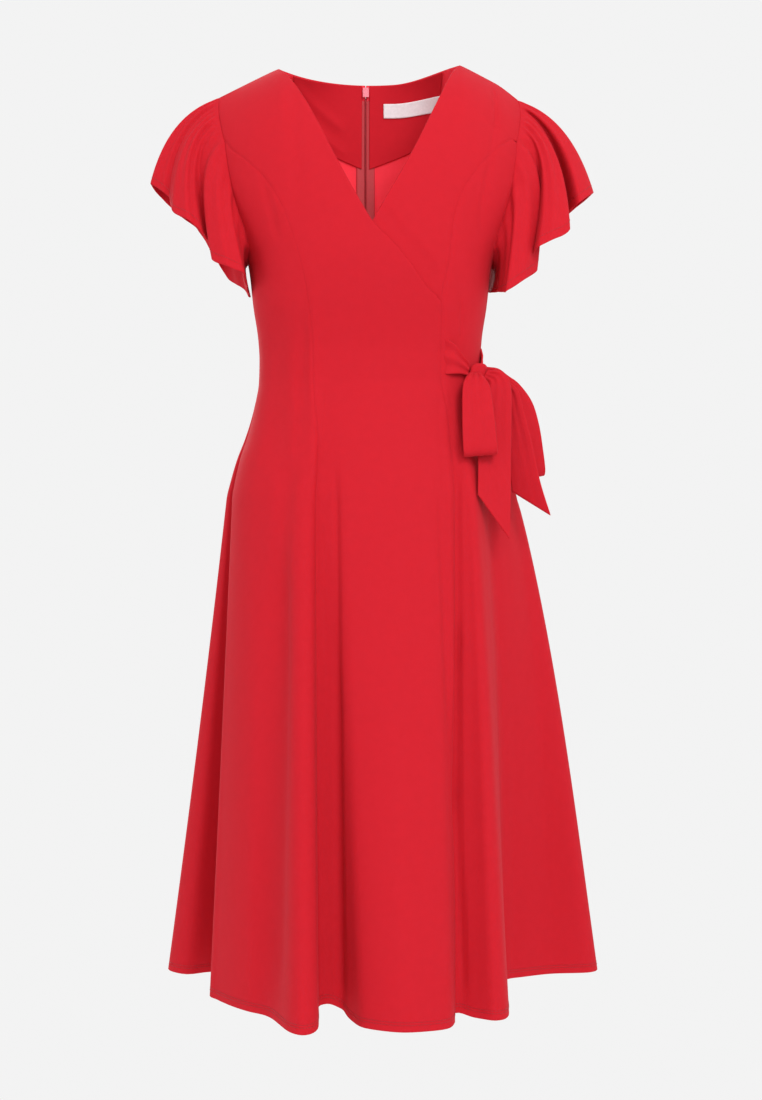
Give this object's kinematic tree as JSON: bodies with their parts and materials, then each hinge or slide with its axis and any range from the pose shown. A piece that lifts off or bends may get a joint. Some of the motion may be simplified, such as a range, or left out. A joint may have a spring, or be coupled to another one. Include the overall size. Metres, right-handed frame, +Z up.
{
  "type": "wrap dress",
  "caption": "Worn midi wrap-front dress on a general figure: crossover V neck, flounced sleeves, princess seams, side bow, folded A-line skirt and a back zip with a swinging pull.",
  "frame": {"origin": "midway between the two ends of the neck opening, on top of the shoulders, where the wearer holds the dress up", "axes": "+Z up along the worn dress, +X to the wearer's left, -Y out of the front"},
  "size_m": [0.532, 0.5239, 1.083],
  "materials": {
    "crepe": "matte stretch crepe",
    "facing": "matte, fused",
    "zip_tape": "woven tape",
    "label": "satin, blank",
    "zip_paint": "satin enamel"
  },
  "bodies": {
    "dress": {"front_over": "crepe", "front_under": "crepe", "side_front_right": "crepe", "side_front_left": "crepe", "back_right": "crepe", "back_left": "crepe", "sleeve_right": "crepe", "sleeve_left": "crepe", "tie_front": "crepe", "tie_side": "crepe", "knot": "crepe", "loop_front": "crepe", "loop_side": "crepe", "tail_front": "crepe", "tail_side": "crepe", "back_facing_right": "facing", "back_facing_left": "facing", "zip_tape_right": "zip_tape", "zip_tape_left": "zip_tape", "label": "label", "zip_slider": "zip_paint", "zip_bail": "zip_paint"},
    "zip_pull": {"zip_pull": "zip_paint"}
  },
  "joints": [
    {"name": "zip_pull_hinge", "type": "hinge", "parent": "dress", "child": "zip_pull", "pos_m": [0, 0.1025, -0.0096], "axis": [1, 0, 0], "range_deg": [0, 110]}
  ]
}
